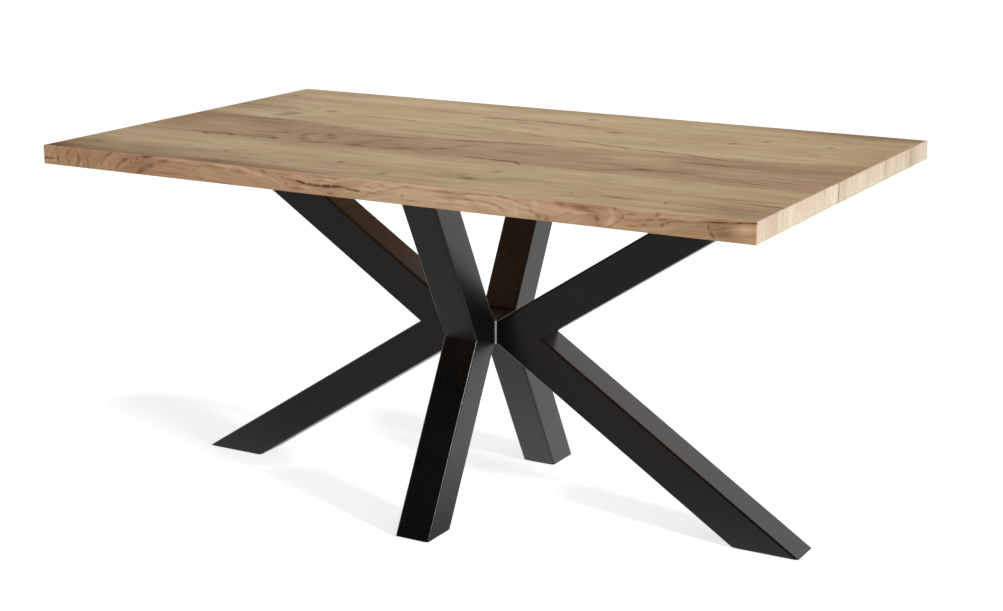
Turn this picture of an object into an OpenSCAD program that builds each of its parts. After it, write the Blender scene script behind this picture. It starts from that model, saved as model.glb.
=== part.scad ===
// Coffee table: a laminated board with an oak decor on a crossed base of mitred square tube.
// The origin is on the floor under the middle of the top. +X runs along the top and +Z is up.

/* [Top] */
// Length of the top
top_length = 1000; // [700:10:1400]
// Width of the top
top_width = 600; // [500:10:900]
// Height of the finished table
table_height = 490; // [400:5:600]
// Thickness of the chipboard core
core_thickness = 23.4; // [16:0.2:38]
// Thickness of the decor laminate on the upper face
decor_thickness = 0.8; // [0.5:0.1:1.5]
// Thickness of the balancing laminate under the core
backing_thickness = 0.8; // [0.5:0.1:1.5]
// Thickness of the edge bands
band_thickness = 2; // [1:0.2:4]

/* [Square tube] */
// Outer width of the square tube
tube_width = 50; // [40:1:60]
// Wall of the square tube
tube_wall = 2; // [1.5:0.1:4]
// Outer corner radius of the square tube
tube_corner = 3; // [2:0.5:8]

/* [Legs] */
// Height of the knees, where arms and legs are mitred
knee_height = 240; // [200:5:280]
// How far the left and right feet stand in from the ends of the top
side_foot_inset = 38; // [0:1:120]
// How far the left and right arms end in from the ends of the top
side_arm_inset = 70; // [50:1:160]
// How far the front and back feet stand in from the long edges of the top
cross_foot_inset = 98; // [0:1:140]
// How far the front and back arms end in from the long edges of the top
cross_arm_inset = 110; // [60:1:150]
// Thickness of the plate that closes the back of each leg at the hub
hub_plate_thickness = 4; // [3:0.5:6]

/* [Hub] */
// Height of the hub tube and of the flat backs that bolt to it
hub_height = 32; // [30:1:60]
// Wall of the hub tube
hub_wall = 4; // [3:0.5:6]
// Outer corner radius of the hub tube
hub_corner = 4; // [1:0.5:6]
// How far the hub is wider than the legs on each side
hub_margin = 2; // [1:0.5:6]
// Thickness of the caps that close the ends of the hub tube
hub_cap_thickness = 2.5; // [1.5:0.5:4]
// How far a cap stands in from the outside of the hub tube
hub_cap_inset = 0.5; // [0.2:0.1:1]
// Diameter of the four pegs that hold a cap in the corners of the hub tube
hub_peg_d = 7; // [6:0.5:9]
// Length of the pegs
hub_peg_length = 8; // [4:0.5:12]

/* [Mounting plates] */
// Length of a mounting plate, along its arm
plate_length = 120; // [100:5:160]
// Width of a mounting plate, across its arm
plate_width = 110; // [100:5:140]
// Thickness of the mounting plates
plate_thickness = 5; // [3:0.5:8]
// Corner radius of the mounting plates
plate_corner = 8; // [2:1:15]
// Distance of the screw holes from the edges of a mounting plate
plate_hole_inset = 14; // [8:1:18]

/* [Feet] */
// Thickness of the plate that closes each foot
foot_plate_thickness = 4; // [2:0.5:8]
// Thickness of the glide pad under each foot
glide_thickness = 1.5; // [1:0.1:4]
// Inset of the glide pad from the outline of the foot
glide_inset = 3; // [1:0.5:8]
// Corner radius of the glide pad
glide_corner = 4; // [1:0.5:10]

/* [Hub screws] */
// Thread diameter of the hub screws
hub_screw_d = 6; // [4:0.5:7]
// Length of the hub screws under the head
hub_screw_length = 16; // [13:1:25]
// Distance between the two hub screws of a leg
hub_screw_pitch = 14; // [12:0.5:18]
// Head diameter of the hub screws
hub_head_d = 10.5; // [8:0.5:11.5]
// Head height of the hub screws
hub_head_height = 3.3; // [2:0.1:5]
// Diameter of the flat crown of the hub screws
hub_crown_d = 6.5; // [5.8:0.1:7.5]
// Height of the rim of the hub screws' heads
hub_rim_height = 1.1; // [0.5:0.1:1.8]
// Width across flats of the socket in the hub screws
hub_socket = 4; // [3:0.5:5]
// Depth of the socket in the hub screws
hub_socket_depth = 2; // [1:0.1:3]
// Width across flats of the weld nuts
nut_flats = 10; // [8.5:0.5:11]
// Height of the weld nuts
nut_height = 5; // [3:0.5:8]

/* [Wood screws] */
// Thread diameter of the wood screws
wood_screw_d = 5; // [3:0.5:6]
// Length of the wood screws under the head
wood_screw_length = 20; // [14:1:26]
// Head diameter of the wood screws
wood_head_d = 9.5; // [8:0.5:12]
// Head height of the wood screws
wood_head_height = 3; // [2:0.1:4]
// Diameter of the flat crown of the wood screws
wood_crown_d = 5.8; // [5:0.1:7.5]
// Height of the rim of the wood screws' heads
wood_rim_height = 1; // [0.5:0.1:1.8]
// Span of the cross recess in the wood screws
wood_recess_span = 5; // [3:0.1:5.5]
// Width of each slot of the cross recess
wood_recess_width = 1.3; // [0.8:0.1:2]
// Depth of the cross recess
wood_recess_depth = 1.8; // [1:0.1:2.5]
// Length of the point of the wood screws
wood_point_length = 5; // [3:0.5:8]

/* [Clearances] */
// Radial clearance of a screw in a drilled steel hole
hole_clearance = 0.3; // [0.1:0.05:0.6]
// Radial clearance that stands for the thread engagement
thread_clearance = 0.1; // [0.05:0.05:0.3]
// Clearance of a cap's pegs from the inside of the hub tube
peg_clearance = 0.2; // [0.1:0.05:0.4]
// How far a pilot hole goes on past the point of its wood screw
pilot_spare = 1; // [0.5:0.1:1.5]

/* [Hidden] */

$fn = 48;

// Heights of the layers, from the floor up
top_thickness = core_thickness + decor_thickness + backing_thickness;
top_underside = table_height - top_thickness;
arm_top = top_underside - plate_thickness;
foot_bottom = glide_thickness;
foot_inside = foot_bottom + foot_plate_thickness;

// The hub and the backs of the legs
hub_width = tube_width + 2 * hub_margin;
back_reach = hub_width / 2;
hub_inside = back_reach - hub_wall;

// Each side of the table has one leg. They follow each other a quarter turn apart, from +X on.
SIDES = ["right", "back", "left", "front"];
function turn(side) = 360 / len(SIDES) * search([side], SIDES)[0];

// How far the leg of a side reaches out from the middle, at the floor and under the top
function half_top(side) = (side == "right" || side == "left" ? top_length : top_width) / 2;
function foot_inset(side) = side == "right" || side == "left" ? side_foot_inset : cross_foot_inset;
function arm_inset(side) = side == "right" || side == "left" ? side_arm_inset : cross_arm_inset;
function foot_reach(side) = half_top(side) - foot_inset(side);
function arm_reach(side) = half_top(side) - arm_inset(side);

// Angle above the floor of a tube whose inner face starts at a back's corner and whose outer face
// ends at a point that lies this far out and this far up or down from that corner
function rake(run, rise) = atan2(rise, run) + asin(tube_width / norm([run, rise]));
function leg_rake(side) = rake(foot_reach(side) - back_reach, knee_height - hub_height / 2 - foot_bottom);
function arm_rake(side) = rake(arm_reach(side) - back_reach, arm_top - knee_height - hub_height / 2);

// The point, out from the middle and up from the floor, where the inner faces of a leg and its arm
// would meet behind the flat back
function knee_point(side) =
    let (fall = tan(leg_rake(side)), climb = tan(arm_rake(side)), behind = hub_height / (fall + climb))
    [back_reach - behind, knee_height + behind * (fall - climb) / 2];

// The mitre halves the angle between leg and arm
function mitre_angle(side) = (arm_rake(side) - leg_rake(side)) / 2;
function mitre_height(side, reach) =
    knee_point(side).y + (reach - knee_point(side).x) * tan(mitre_angle(side));

// Lengths of the level cuts through a leg at the floor and through an arm under the top
function foot_length(side) = tube_width / sin(leg_rake(side));
function arm_end_length(side) = tube_width / sin(arm_rake(side));
function plate_centre(side) = arm_reach(side) - arm_end_length(side) / 2;

// A length that reaches past every cut
overshoot = top_length;

// The inner corner of a tube follows its outer one, and stays a true arc when the wall is thick
least_corner = 0.5;
function inner_corner(corner, wall) = max(corner - wall, least_corner);

// Width across corners of a hexagon, from its width across flats
function across_corners(flats) = flats / cos(180 / 6);

module rounded_rectangle(length, width, radius) {
    square([length - 2 * radius, width], center = true);
    square([length, width - 2 * radius], center = true);
    for (x = [-1, 1], y = [-1, 1])
        translate([x * (length / 2 - radius), y * (width / 2 - radius)])
            circle(r = radius);
}

module tube_section(hollow) {
    bore = tube_width - 2 * tube_wall;
    difference() {
        rounded_rectangle(tube_width, tube_width, tube_corner);
        if (hollow)
            rounded_rectangle(bore, bore, inner_corner(tube_corner, tube_wall));
    }
}

// A tube that leaves the knee point downwards at an angle, its inner face on the knee point
module raked_tube(angle, hollow) {
    rotate([0, angle, 0])
        translate([-overshoot, 0, tube_width / 2])
            rotate([0, 90, 0])
                linear_extrude(2 * overshoot)
                    tube_section(hollow);
}

module leg_stock(side, hollow) {
    translate([knee_point(side).x, 0, knee_point(side).y])
        raked_tube(leg_rake(side), hollow);
}

module arm_stock(side, hollow) {
    translate([knee_point(side).x, 0, knee_point(side).y])
        mirror([0, 0, 1])
            raked_tube(arm_rake(side), hollow);
}

// The slab of space between a level plane and the mitre, outside a given reach
module space_to_mitre(side, level, reach) {
    far = reach + overshoot;
    rotate([90, 0, 0])
        linear_extrude(2 * tube_width, center = true)
            polygon([
                [reach, level],
                [far, level],
                [far, mitre_height(side, far)],
                [reach, mitre_height(side, reach)]
            ]);
}

module slab(from, to) {
    translate([-overshoot, -overshoot, from])
        cube([2 * overshoot, 2 * overshoot, to - from]);
}

module steel_black() {
    color("#24231f") children();
}

module lower_leg(side) {
    steel_black()
        rotate([0, 0, turn(side)])
            intersection() {
                leg_stock(side, true);
                space_to_mitre(side, foot_inside, back_reach + hub_plate_thickness);
            }
}

module upper_arm(side) {
    steel_black()
        rotate([0, 0, turn(side)])
            intersection() {
                arm_stock(side, true);
                space_to_mitre(side, arm_top, back_reach + hub_plate_thickness);
            }
}

module foot_plate(side) {
    steel_black()
        rotate([0, 0, turn(side)])
            intersection() {
                leg_stock(side, false);
                slab(foot_bottom, foot_inside);
            }
}

// The back of a leg: its slanted edges carry on the inner faces of leg and arm
module hub_plate(side) {
    near = back_reach;
    far = back_reach + hub_plate_thickness;
    half = hub_height / 2;
    steel_black()
        rotate([0, 0, turn(side)])
            difference() {
                rotate([90, 0, 0])
                    linear_extrude(tube_width, center = true)
                        polygon([
                            [near, knee_height - half],
                            [far, knee_height - half - hub_plate_thickness * tan(leg_rake(side))],
                            [far, knee_height + half + hub_plate_thickness * tan(arm_rake(side))],
                            [near, knee_height + half]
                        ]);
                hub_screw_places()
                    hub_screw_hole();
            }
}

module mounting_plate(side) {
    steel_black()
        rotate([0, 0, turn(side)])
            difference() {
                translate([plate_centre(side), 0, arm_top])
                    linear_extrude(plate_thickness)
                        rounded_rectangle(plate_length, plate_width, plate_corner);
                plate_screw_places(side)
                    cylinder(d = wood_screw_d + 2 * hole_clearance, h = overshoot, center = true);
            }
}

module glide(side) {
    length = foot_length(side) - 2 * glide_inset;
    width = tube_width - 2 * glide_inset;
    color("#1a1a1a")
        rotate([0, 0, turn(side)])
            translate([foot_reach(side) - foot_length(side) / 2, 0, 0])
                linear_extrude(glide_thickness)
                    rounded_rectangle(length, width, glide_corner);
}

// Where the two hub screws of the leg on the +X side pass through the hub wall, axis along +X
module hub_screw_places() {
    for (z = [-1, 1])
        translate([hub_inside, 0, knee_height + z * hub_screw_pitch / 2])
            rotate([0, 90, 0])
                children();
}

// A hole that starts in the middle of the hub and goes out through everything on its side
module hub_screw_hole() {
    translate([0, 0, -hub_inside])
        cylinder(d = hub_screw_d + 2 * hole_clearance, h = overshoot);
}

// Where the four wood screws of a mounting plate start, level with its underside
module plate_screw_places(side) {
    for (x = [-1, 1], y = [-1, 1])
        translate([
            plate_centre(side) + x * (plate_length / 2 - plate_hole_inset),
            y * (plate_width / 2 - plate_hole_inset),
            arm_top
        ])
            children();
}

module hub_tube() {
    color("#8d8f92")
        difference() {
            translate([0, 0, knee_height - hub_height / 2])
                linear_extrude(hub_height)
                    difference() {
                        rounded_rectangle(hub_width, hub_width, hub_corner);
                        rounded_rectangle(2 * hub_inside, 2 * hub_inside, inner_corner(hub_corner, hub_wall));
                    }
            for (side = SIDES)
                rotate([0, 0, turn(side)])
                    hub_screw_places()
                        hub_screw_hole();
        }
}

// The cap of the upper end. Its pegs stand in the corners, clear of the screw heads.
module hub_cap() {
    outline = hub_width - 2 * hub_cap_inset;
    peg_place = hub_inside - peg_clearance - hub_peg_d / 2;
    translate([0, 0, hub_height / 2]) {
        linear_extrude(hub_cap_thickness)
            rounded_rectangle(outline, outline, hub_corner);
        for (x = [-1, 1], y = [-1, 1])
            translate([x * peg_place, y * peg_place, -hub_peg_length])
                cylinder(d = hub_peg_d, h = hub_peg_length + hub_cap_thickness / 2);
    }
}

module hub_caps() {
    color("#1e1e1d")
        for (end = [0, 1])
            translate([0, 0, knee_height])
                mirror([0, 0, end])
                    hub_cap();
}

// Button head screw, its head's seat at the origin and its shank along +Z
module hub_screw() {
    difference() {
        rotate_extrude()
            polygon([
                [0, -hub_head_height],
                [hub_crown_d / 2, -hub_head_height],
                [hub_head_d / 2, -hub_rim_height],
                [hub_head_d / 2, 0],
                [hub_screw_d / 2, 0],
                [hub_screw_d / 2, hub_screw_length],
                [0, hub_screw_length]
            ]);
        translate([0, 0, -hub_head_height])
            cylinder(d = across_corners(hub_socket), h = 2 * hub_socket_depth, center = true, $fn = 6);
    }
}

module hub_screws() {
    color("#8d8f92")
        for (side = SIDES)
            rotate([0, 0, turn(side)])
                hub_screw_places()
                    hub_screw();
}

module hub_nuts() {
    color("#8d8f92")
        for (side = SIDES)
            rotate([0, 0, turn(side)])
                hub_screw_places()
                    translate([0, 0, hub_wall + hub_plate_thickness])
                        difference() {
                            cylinder(d = across_corners(nut_flats), h = nut_height, $fn = 6);
                            cylinder(d = hub_screw_d + 2 * thread_clearance, h = overshoot, center = true);
                        }
}

// Pan head wood screw, its head's seat at the origin and its shank along +Z
module wood_screw() {
    difference() {
        rotate_extrude()
            polygon([
                [0, -wood_head_height],
                [wood_crown_d / 2, -wood_head_height],
                [wood_head_d / 2, -wood_rim_height],
                [wood_head_d / 2, 0],
                [wood_screw_d / 2, 0],
                [wood_screw_d / 2, wood_screw_length - wood_point_length],
                [0, wood_screw_length]
            ]);
        for (slot_turn = [0, 90])
            rotate([0, 0, slot_turn])
                translate([0, 0, -wood_head_height])
                    cube([wood_recess_span, wood_recess_width, 2 * wood_recess_depth], center = true);
    }
}

module top_screws() {
    color("#8d8f92")
        for (side = SIDES)
            rotate([0, 0, turn(side)])
                plate_screw_places(side)
                    wood_screw();
}

module pilot_holes() {
    for (side = SIDES)
        rotate([0, 0, turn(side)])
            plate_screw_places(side)
                cylinder(d = wood_screw_d + 2 * thread_clearance, h = wood_screw_length + pilot_spare);
}

// A layer of the top inside the edge bands, from one height to another
module board_layer(from, to) {
    translate([0, 0, from])
        linear_extrude(to - from)
            square([top_length - 2 * band_thickness, top_width - 2 * band_thickness], center = true);
}

module top_core() {
    color("#b98f5e")
        difference() {
            board_layer(top_underside + backing_thickness, table_height - decor_thickness);
            pilot_holes();
        }
}

module decor_laminate() {
    color("#b3936a")
        board_layer(table_height - decor_thickness, table_height);
}

module backing_laminate() {
    color("#a88a63")
        difference() {
            board_layer(top_underside, top_underside + backing_thickness);
            pilot_holes();
        }
}

// The long bands cover the ends of the short ones
module long_edge_band(end) {
    color("#b8926c")
        translate([0, end * (top_width - band_thickness) / 2, table_height - top_thickness / 2])
            cube([top_length, band_thickness, top_thickness], center = true);
}

module short_edge_band(end) {
    color("#dcc3a0")
        translate([end * (top_length - band_thickness) / 2, 0, table_height - top_thickness / 2])
            cube([band_thickness, top_width - 2 * band_thickness, top_thickness], center = true);
}

top_core();
decor_laminate();
backing_laminate();
long_edge_band(-1);  // front_edge_band
long_edge_band(1);  // back_edge_band
short_edge_band(-1);  // left_edge_band
short_edge_band(1);  // right_edge_band
upper_arm("left");  // left_upper_arm
upper_arm("right");  // right_upper_arm
upper_arm("front");  // front_upper_arm
upper_arm("back");  // back_upper_arm
lower_leg("left");  // left_lower_leg
lower_leg("right");  // right_lower_leg
lower_leg("front");  // front_lower_leg
lower_leg("back");  // back_lower_leg
mounting_plate("left");  // left_mounting_plate
mounting_plate("right");  // right_mounting_plate
mounting_plate("front");  // front_mounting_plate
mounting_plate("back");  // back_mounting_plate
hub_plate("left");  // left_hub_plate
hub_plate("right");  // right_hub_plate
hub_plate("front");  // front_hub_plate
hub_plate("back");  // back_hub_plate
foot_plate("left");  // left_foot_plate
foot_plate("right");  // right_foot_plate
foot_plate("front");  // front_foot_plate
foot_plate("back");  // back_foot_plate
glide("left");  // left_glide
glide("right");  // right_glide
glide("front");  // front_glide
glide("back");  // back_glide
hub_tube();
hub_caps();
hub_screws();
hub_nuts();
top_screws();
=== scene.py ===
"""A coffee table with a laminated oak decor top on a crossed base of black square tube."""

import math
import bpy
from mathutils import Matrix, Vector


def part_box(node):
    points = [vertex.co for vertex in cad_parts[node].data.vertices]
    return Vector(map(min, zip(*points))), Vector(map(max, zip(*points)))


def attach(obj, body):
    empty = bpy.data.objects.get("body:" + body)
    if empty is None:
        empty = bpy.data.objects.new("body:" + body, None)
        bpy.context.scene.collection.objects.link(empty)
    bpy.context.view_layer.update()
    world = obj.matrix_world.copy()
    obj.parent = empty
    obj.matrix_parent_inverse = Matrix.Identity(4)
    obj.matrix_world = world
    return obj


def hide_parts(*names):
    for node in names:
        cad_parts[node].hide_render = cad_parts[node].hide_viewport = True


bl_info = {
    "name": "Crossed base coffee table",
    "version": (1, 0, 0),
    "blender": (4, 5, 0),
    "location": "3D View > Sidebar > Coffee Table",
    "description": "Dresses the packed coffee table with its oak decor, its powder coated steel and a studio",
    "category": "Add Mesh",
}

from types import SimpleNamespace

import bmesh
import bpy
from mathutils import Matrix, Vector

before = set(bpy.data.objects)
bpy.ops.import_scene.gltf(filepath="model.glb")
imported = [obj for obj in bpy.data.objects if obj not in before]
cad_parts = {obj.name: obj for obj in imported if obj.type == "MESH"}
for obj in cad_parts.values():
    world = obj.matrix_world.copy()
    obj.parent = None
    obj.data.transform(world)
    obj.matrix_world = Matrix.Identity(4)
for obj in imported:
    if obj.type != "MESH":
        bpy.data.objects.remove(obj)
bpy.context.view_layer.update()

BODY = "root"

X_AXIS = Vector((1, 0, 0))
Z_AXIS = Vector((0, 0, 1))

# Each side of the table has one leg. They follow each other a quarter turn apart, from +X on.
SIDES = ("right", "back", "left", "front")

# The signs of X and Y in the four corners of a plate
CORNERS = ((1, 1), (-1, 1), (-1, -1), (1, -1))

# Edges that turn by more than this stay crisp
CRISP_ANGLE = math.radians(32)

# Steps in a rounded corner of the tube and plates, round a hole, in an arris and in a broken edge
CORNER_STEPS = 6
HOLE_STEPS = 24
ARRIS_STEPS = 3
BROKEN_STEPS = 2

# The stock is long enough for every tube before it is cut, and starts this far behind the knee
STOCK_LENGTH = 1.5
STOCK_BEHIND = STOCK_LENGTH / 3

# Where the middle of a weld's face lies, as a share of its two legs
BEAD_BULGE = 0.6

# The tip of a cap's peg as a share of its width, and the rounding of a cap as a share of its thickness
PEG_TIP = 0.8
CAP_ROUNDING = 0.25

# Points whose heights differ by less than LEVEL are level, and points closer than MERGED are one
LEVEL = 1e-6
MERGED = 1e-7

# Millimetres in a metre
MM = 1000

# The level direction from the camera into the picture
BACK_WAY = Vector((-0.49, 0.87, 0))

WHITE = (1, 1, 1, 1)
BLACK = (0, 0, 0)

# Inputs and outputs of the Mix node when it mixes colours
MIX_A = 6
MIX_B = 7
MIX_RESULT = 2

# Places of the five oak tones on the scale of tones, from dark to pale
WOOD_STOPS = (0.0, 0.3, 0.55, 0.8, 1.0)

# What the colour is multiplied by in the reddest and greenest areas of the oak
REDDER = (1.0, 0.92, 0.935)
GREENER = (0.975, 1.0, 0.985)

# The long edge bands are pinker than the top; the backing is redder, and paler as painted light under the top
EDGE_TINT = (1.07, 0.955, 0.97)
BACKING_TINT_AND_PAINTED_LIGHT = (1.6, 1.35, 1.35)

# The five tones of the short edge bands
END_TONES = (
    (0.23, 0.146, 0.083),
    (0.412, 0.308, 0.202),
    (0.532, 0.431, 0.313),
    (0.598, 0.503, 0.378),
    (0.655, 0.563, 0.451),
)

# Layers of noise in the oak: cells in a metre with the grain and over it, seed, detail and roughness.
# Ripple and wander are multiplied by a number of waves, and streaks by the pitch.
LAYERS = {
    "drift": (1.6, 5.0, 0.0, 2.0, 0.5),
    "ripple": (1.0, 2.0, 2.2, 3.0, 0.55),
    "wander": (1.0, 3.0, 17.0, 2.5, 0.5),
    "clouds": (4.5, 12.0, 3.1, 4.0, 0.6),
    "streaks": (7.0, 70.0, 5.7, 4.0, 0.62),
    "fibre": (26.0, 640.0, 9.4, 2.0, 0.6),
    "blotch": (6.5, 17.0, 27.0, 3.0, 0.6),
    "patches": (9.0, 34.0, 15.0, 2.0, 0.5),
    "pores": (60.0, 1300.0, 21.0, 1.0, 0.5),
    "shift": (30.0, 60.0, 31.0, 2.0, 0.5),
    "breaks": (38.0, 70.0, 44.0, 2.0, 0.5),
}

# Between which values of their noise the pores, the patches with rings and the breaks in a mark rise
PORE_RISE = (0.62, 0.74)
PATCH_RISE = (0.3, 0.62)
BREAK_RISE = (0.25, 0.6)

# How much of a crack or streak is left where it breaks and where it doesn't
BREAK_SPREAD = (0.62, 1.0)

# How dark a pore is, and how far along the grain the outline of a mark is shifted, in metres
PORE_DEPTH = 0.1
SHIFT_ALONG = 0.012

# How far in from its rim, as a share, a crack, a knot and a soft mark reach their full strength
CRACK_FULL = 0.6
KNOT_FULL = 0.95
SOFT_FULL = 1.0

# Half length of a mark, as a share of the way between its two places: on its own, and in a chain
MARK_REACH = 0.55
CHAIN_REACH = 0.75

# One year of growth: where its dark line starts and is darkest, and how much of the depth the line takes
LINE_START = 0.72
LINE_DARKEST = 0.95
LINE_SHARE = 0.7

# Blotches below the middle are redder and those above it greener, fully so at these values
BLOTCH_MIDDLE = 0.5
BLOTCH_RED = 0.34
BLOTCH_GREEN = 0.66


# Shader maths


class Signal:
    """A socket in a node tree. Arithmetic on it adds Math nodes to the tree."""

    def __init__(self, tree, socket=None):
        self.tree = tree
        self.socket = socket

    def add(self, kind, modes=None, inputs=None, output=0):
        """Adds any node: its modes come first, then the values or links of its sockets. Gives one output."""
        node = self.tree.nodes.new(kind)
        for name, value in (modes or {}).items():
            setattr(node, name, value)
        for name, value in (inputs or {}).items():
            if isinstance(value, Signal):
                self.tree.links.new(value.socket, node.inputs[name])
            else:
                node.inputs[name].default_value = value
        return Signal(self.tree, node.outputs[output] if node.outputs else None)

    def maths(self, operation, *values):
        return self.add("ShaderNodeMath", {"operation": operation}, dict(enumerate(values)))

    def __add__(self, other):
        return self.maths("ADD", self, other)

    def __radd__(self, other):
        return self.maths("ADD", other, self)

    def __sub__(self, other):
        return self.maths("SUBTRACT", self, other)

    def __rsub__(self, other):
        return self.maths("SUBTRACT", other, self)

    def __mul__(self, other):
        return self.maths("MULTIPLY", self, other)

    def __truediv__(self, other):
        return self.maths("DIVIDE", self, other)

    def __pow__(self, other):
        return self.maths("POWER", self, other)

    def least(self, other):
        return self.maths("MINIMUM", self, other)

    def most(self, other):
        return self.maths("MAXIMUM", self, other)

    def root(self):
        return self.maths("SQRT", self)

    def fraction(self):
        return self.maths("FRACT", self)

    def rise(self, low, high):
        """0 below low, 1 above high, and a smooth step between them. It falls where high is less."""
        inputs = {"Value": self, "From Min": low, "From Max": high}
        return self.add("ShaderNodeMapRange", {"interpolation_type": "SMOOTHSTEP"}, inputs)

    def spread(self, low, high):
        """Takes a signal from 0 to 1 to the range from low to high."""
        return self * (high - low) + low

    def parts(self):
        """The X, Y and Z of a vector."""
        node = self.add("ShaderNodeSeparateXYZ", None, {"Vector": self}).socket.node
        return [Signal(self.tree, output) for output in node.outputs]

    def vector(self, x, y, z):
        """A vector of signals or numbers, in the same tree."""
        return self.add("ShaderNodeCombineXYZ", None, {"X": x, "Y": y, "Z": z})

    def times(self, amount):
        """Scales a vector."""
        return self.add("ShaderNodeVectorMath", {"operation": "SCALE"}, {0: self, "Scale": amount})

    def noise(self, detail=2.0, roughness=0.5):
        """Noise from 0 to 1 with one cell for each unit of a vector."""
        inputs = {"Vector": self, "Scale": 1.0, "Detail": detail, "Roughness": roughness}
        return self.add("ShaderNodeTexNoise", None, inputs)

    def mix(self, first, second, blend="MIX"):
        """Goes from the first colour to the second as the signal goes from 0 to 1."""
        modes = {"data_type": "RGBA", "blend_type": blend}
        inputs = {"Factor": self, MIX_A: paint(first), MIX_B: paint(second)}
        return self.add("ShaderNodeMix", modes, inputs, MIX_RESULT)

    def bump(self, distance, strength):
        """The normal of a surface that has the signal as its height."""
        return self.add("ShaderNodeBump", None, {"Height": self, "Distance": distance, "Strength": strength})

    def shader(self, kind, **inputs):
        """A shader in the same tree, with the values or links of its sockets."""
        return self.add(f"ShaderNode{kind}", None, inputs)

    def mix_shaders(self, first, second):
        """Goes from the first shader to the second as the signal goes from 0 to 1."""
        return self.add("ShaderNodeMixShader", None, {0: self, 1: first, 2: second})


def paint(colour):
    """A colour socket takes four numbers."""
    if isinstance(colour, Signal):
        return colour
    return (*tuple(colour)[:3], 1.0)


def scaled(colour, factors):
    """A colour with each of its three parts times a factor."""
    return tuple(part * factor for part, factor in zip(colour, factors))


def new_material(name):
    """An empty material, and its Object coordinates as a signal."""
    material = bpy.data.materials.new(name)
    material.use_nodes = True
    material.node_tree.nodes.clear()
    return material, Signal(material.node_tree).add("ShaderNodeTexCoord", output="Object")


def close_material(material, point, inputs):
    """Ends a material in one Principled shader. Every constant sits on the shader's own socket."""
    shader = point.add("ShaderNodeBsdfPrincipled", None, inputs)
    point.add("ShaderNodeOutputMaterial", None, {"Surface": shader})
    return material


# Wood


def spot(flat, x, y, length, width, turn=0.0):
    """1 in the middle of an oval, falling evenly to 0 at its rim. Its length and width are half sizes."""
    inputs = {"Vector": flat, "Location": (x, y, 0), "Rotation": (0, 0, turn), "Scale": (length, width, 1)}
    oval = flat.add("ShaderNodeMapping", {"vector_type": "TEXTURE"}, inputs)
    return flat.add("ShaderNodeTexGradient", {"gradient_type": "SPHERICAL"}, {"Vector": oval}, "Fac")


def with_ovals(signal, flat, ovals):
    """Adds soft ovals to a signal. Each has a place, a half length, a half width and an amount."""
    for *oval, amount in ovals:
        signal = signal + spot(flat, *(size / MM for size in oval)).rise(0.0, 1.0) * amount
    return signal


def marks(flat, lines):
    """Thin marks on the wood. Each has a half width and runs through two or more places."""
    mask = None
    for width, *places in lines:
        reach = MARK_REACH if len(places) == 2 else CHAIN_REACH
        for (x0, y0), (x1, y1) in zip(places, places[1:]):
            oval = ((x0 + x1) / 2, (y0 + y1) / 2, math.hypot(x1 - x0, y1 - y0) * reach, width)
            mark = spot(flat, *(size / MM for size in oval), math.atan2(y1 - y0, x1 - x0))
            mask = mark if mask is None else mask.most(mark)
    return mask


def growth_rings(grain, wander, figure):
    """A thin dark line where one year's wood ends, and a faint shade that leads up to it."""
    count, _, bend = figure.rings
    year = (grain * count + wander * bend).fraction()
    line = year.rise(LINE_START, LINE_DARKEST) * year.rise(1.0, LINE_DARKEST)
    return line * LINE_SHARE + year * (1.0 - LINE_SHARE)


def wood_signals(along, across, figure, base=None):
    """The tone, blotches, pores and fibres of a sheet of oak decor.

    along runs with the grain and across runs over it, both in metres. The grain follows base where it is
    given, and across where it isn't."""

    def layer(name, over, scale=1.0):
        """One layer of noise, from 0 to 1."""
        cells, cells_over, seed, detail, roughness = LAYERS[name]
        place = along.vector(along * (cells * scale), over * (cells_over * scale), figure.seed + seed)
        return place.noise(detail, roughness)

    plain = along.vector(along, across, 0.0)
    drift = (layer("drift", across) - 0.5) * figure.drift
    ripple = (layer("ripple", across, figure.waves) - 0.5) * figure.ripple
    grain = with_ovals((base or across) + drift + ripple, plain, figure.bends)
    clouds = layer("clouds", grain) - 0.5
    streaks = layer("streaks", grain, figure.pitch) - 0.5
    fibre = layer("fibre", grain) - 0.5
    blotch = layer("blotch", across)
    patches = layer("patches", across).rise(*PATCH_RISE)
    pores = layer("pores", grain).rise(*PORE_RISE)
    shift = layer("shift", across) - 0.5
    flat = along.vector(along + shift * SHIFT_ALONG, across + shift * figure.waver, 0.0)
    cracks = marks(flat, figure.cracks).rise(0.0, CRACK_FULL) * figure.crack_depth
    soft_streaks = marks(flat, figure.soft_streaks).rise(0.0, SOFT_FULL) * figure.streak_depth
    breaks = layer("breaks", across).rise(*BREAK_RISE).spread(*BREAK_SPREAD)
    rings = growth_rings(grain, layer("wander", grain, figure.rings[1]) - 0.5, figure)
    tone = (
        figure.tone
        + clouds * figure.clouds
        + streaks * figure.streaks
        + fibre * figure.fibre
        - rings * patches * figure.ring_depth
        - pores * PORE_DEPTH
        - cracks.most(soft_streaks) * breaks
        - marks(flat, figure.knots).rise(0.0, KNOT_FULL) * figure.knot_depth
        + marks(flat, figure.gleams).rise(0.0, SOFT_FULL) * figure.gleam
    )
    return SimpleNamespace(
        tone=with_ovals(tone, plain, figure.shades),
        blotch=with_ovals(blotch, plain, figure.reds),
        fibre=fibre + 0.5,
        pores=pores,
    )


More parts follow.
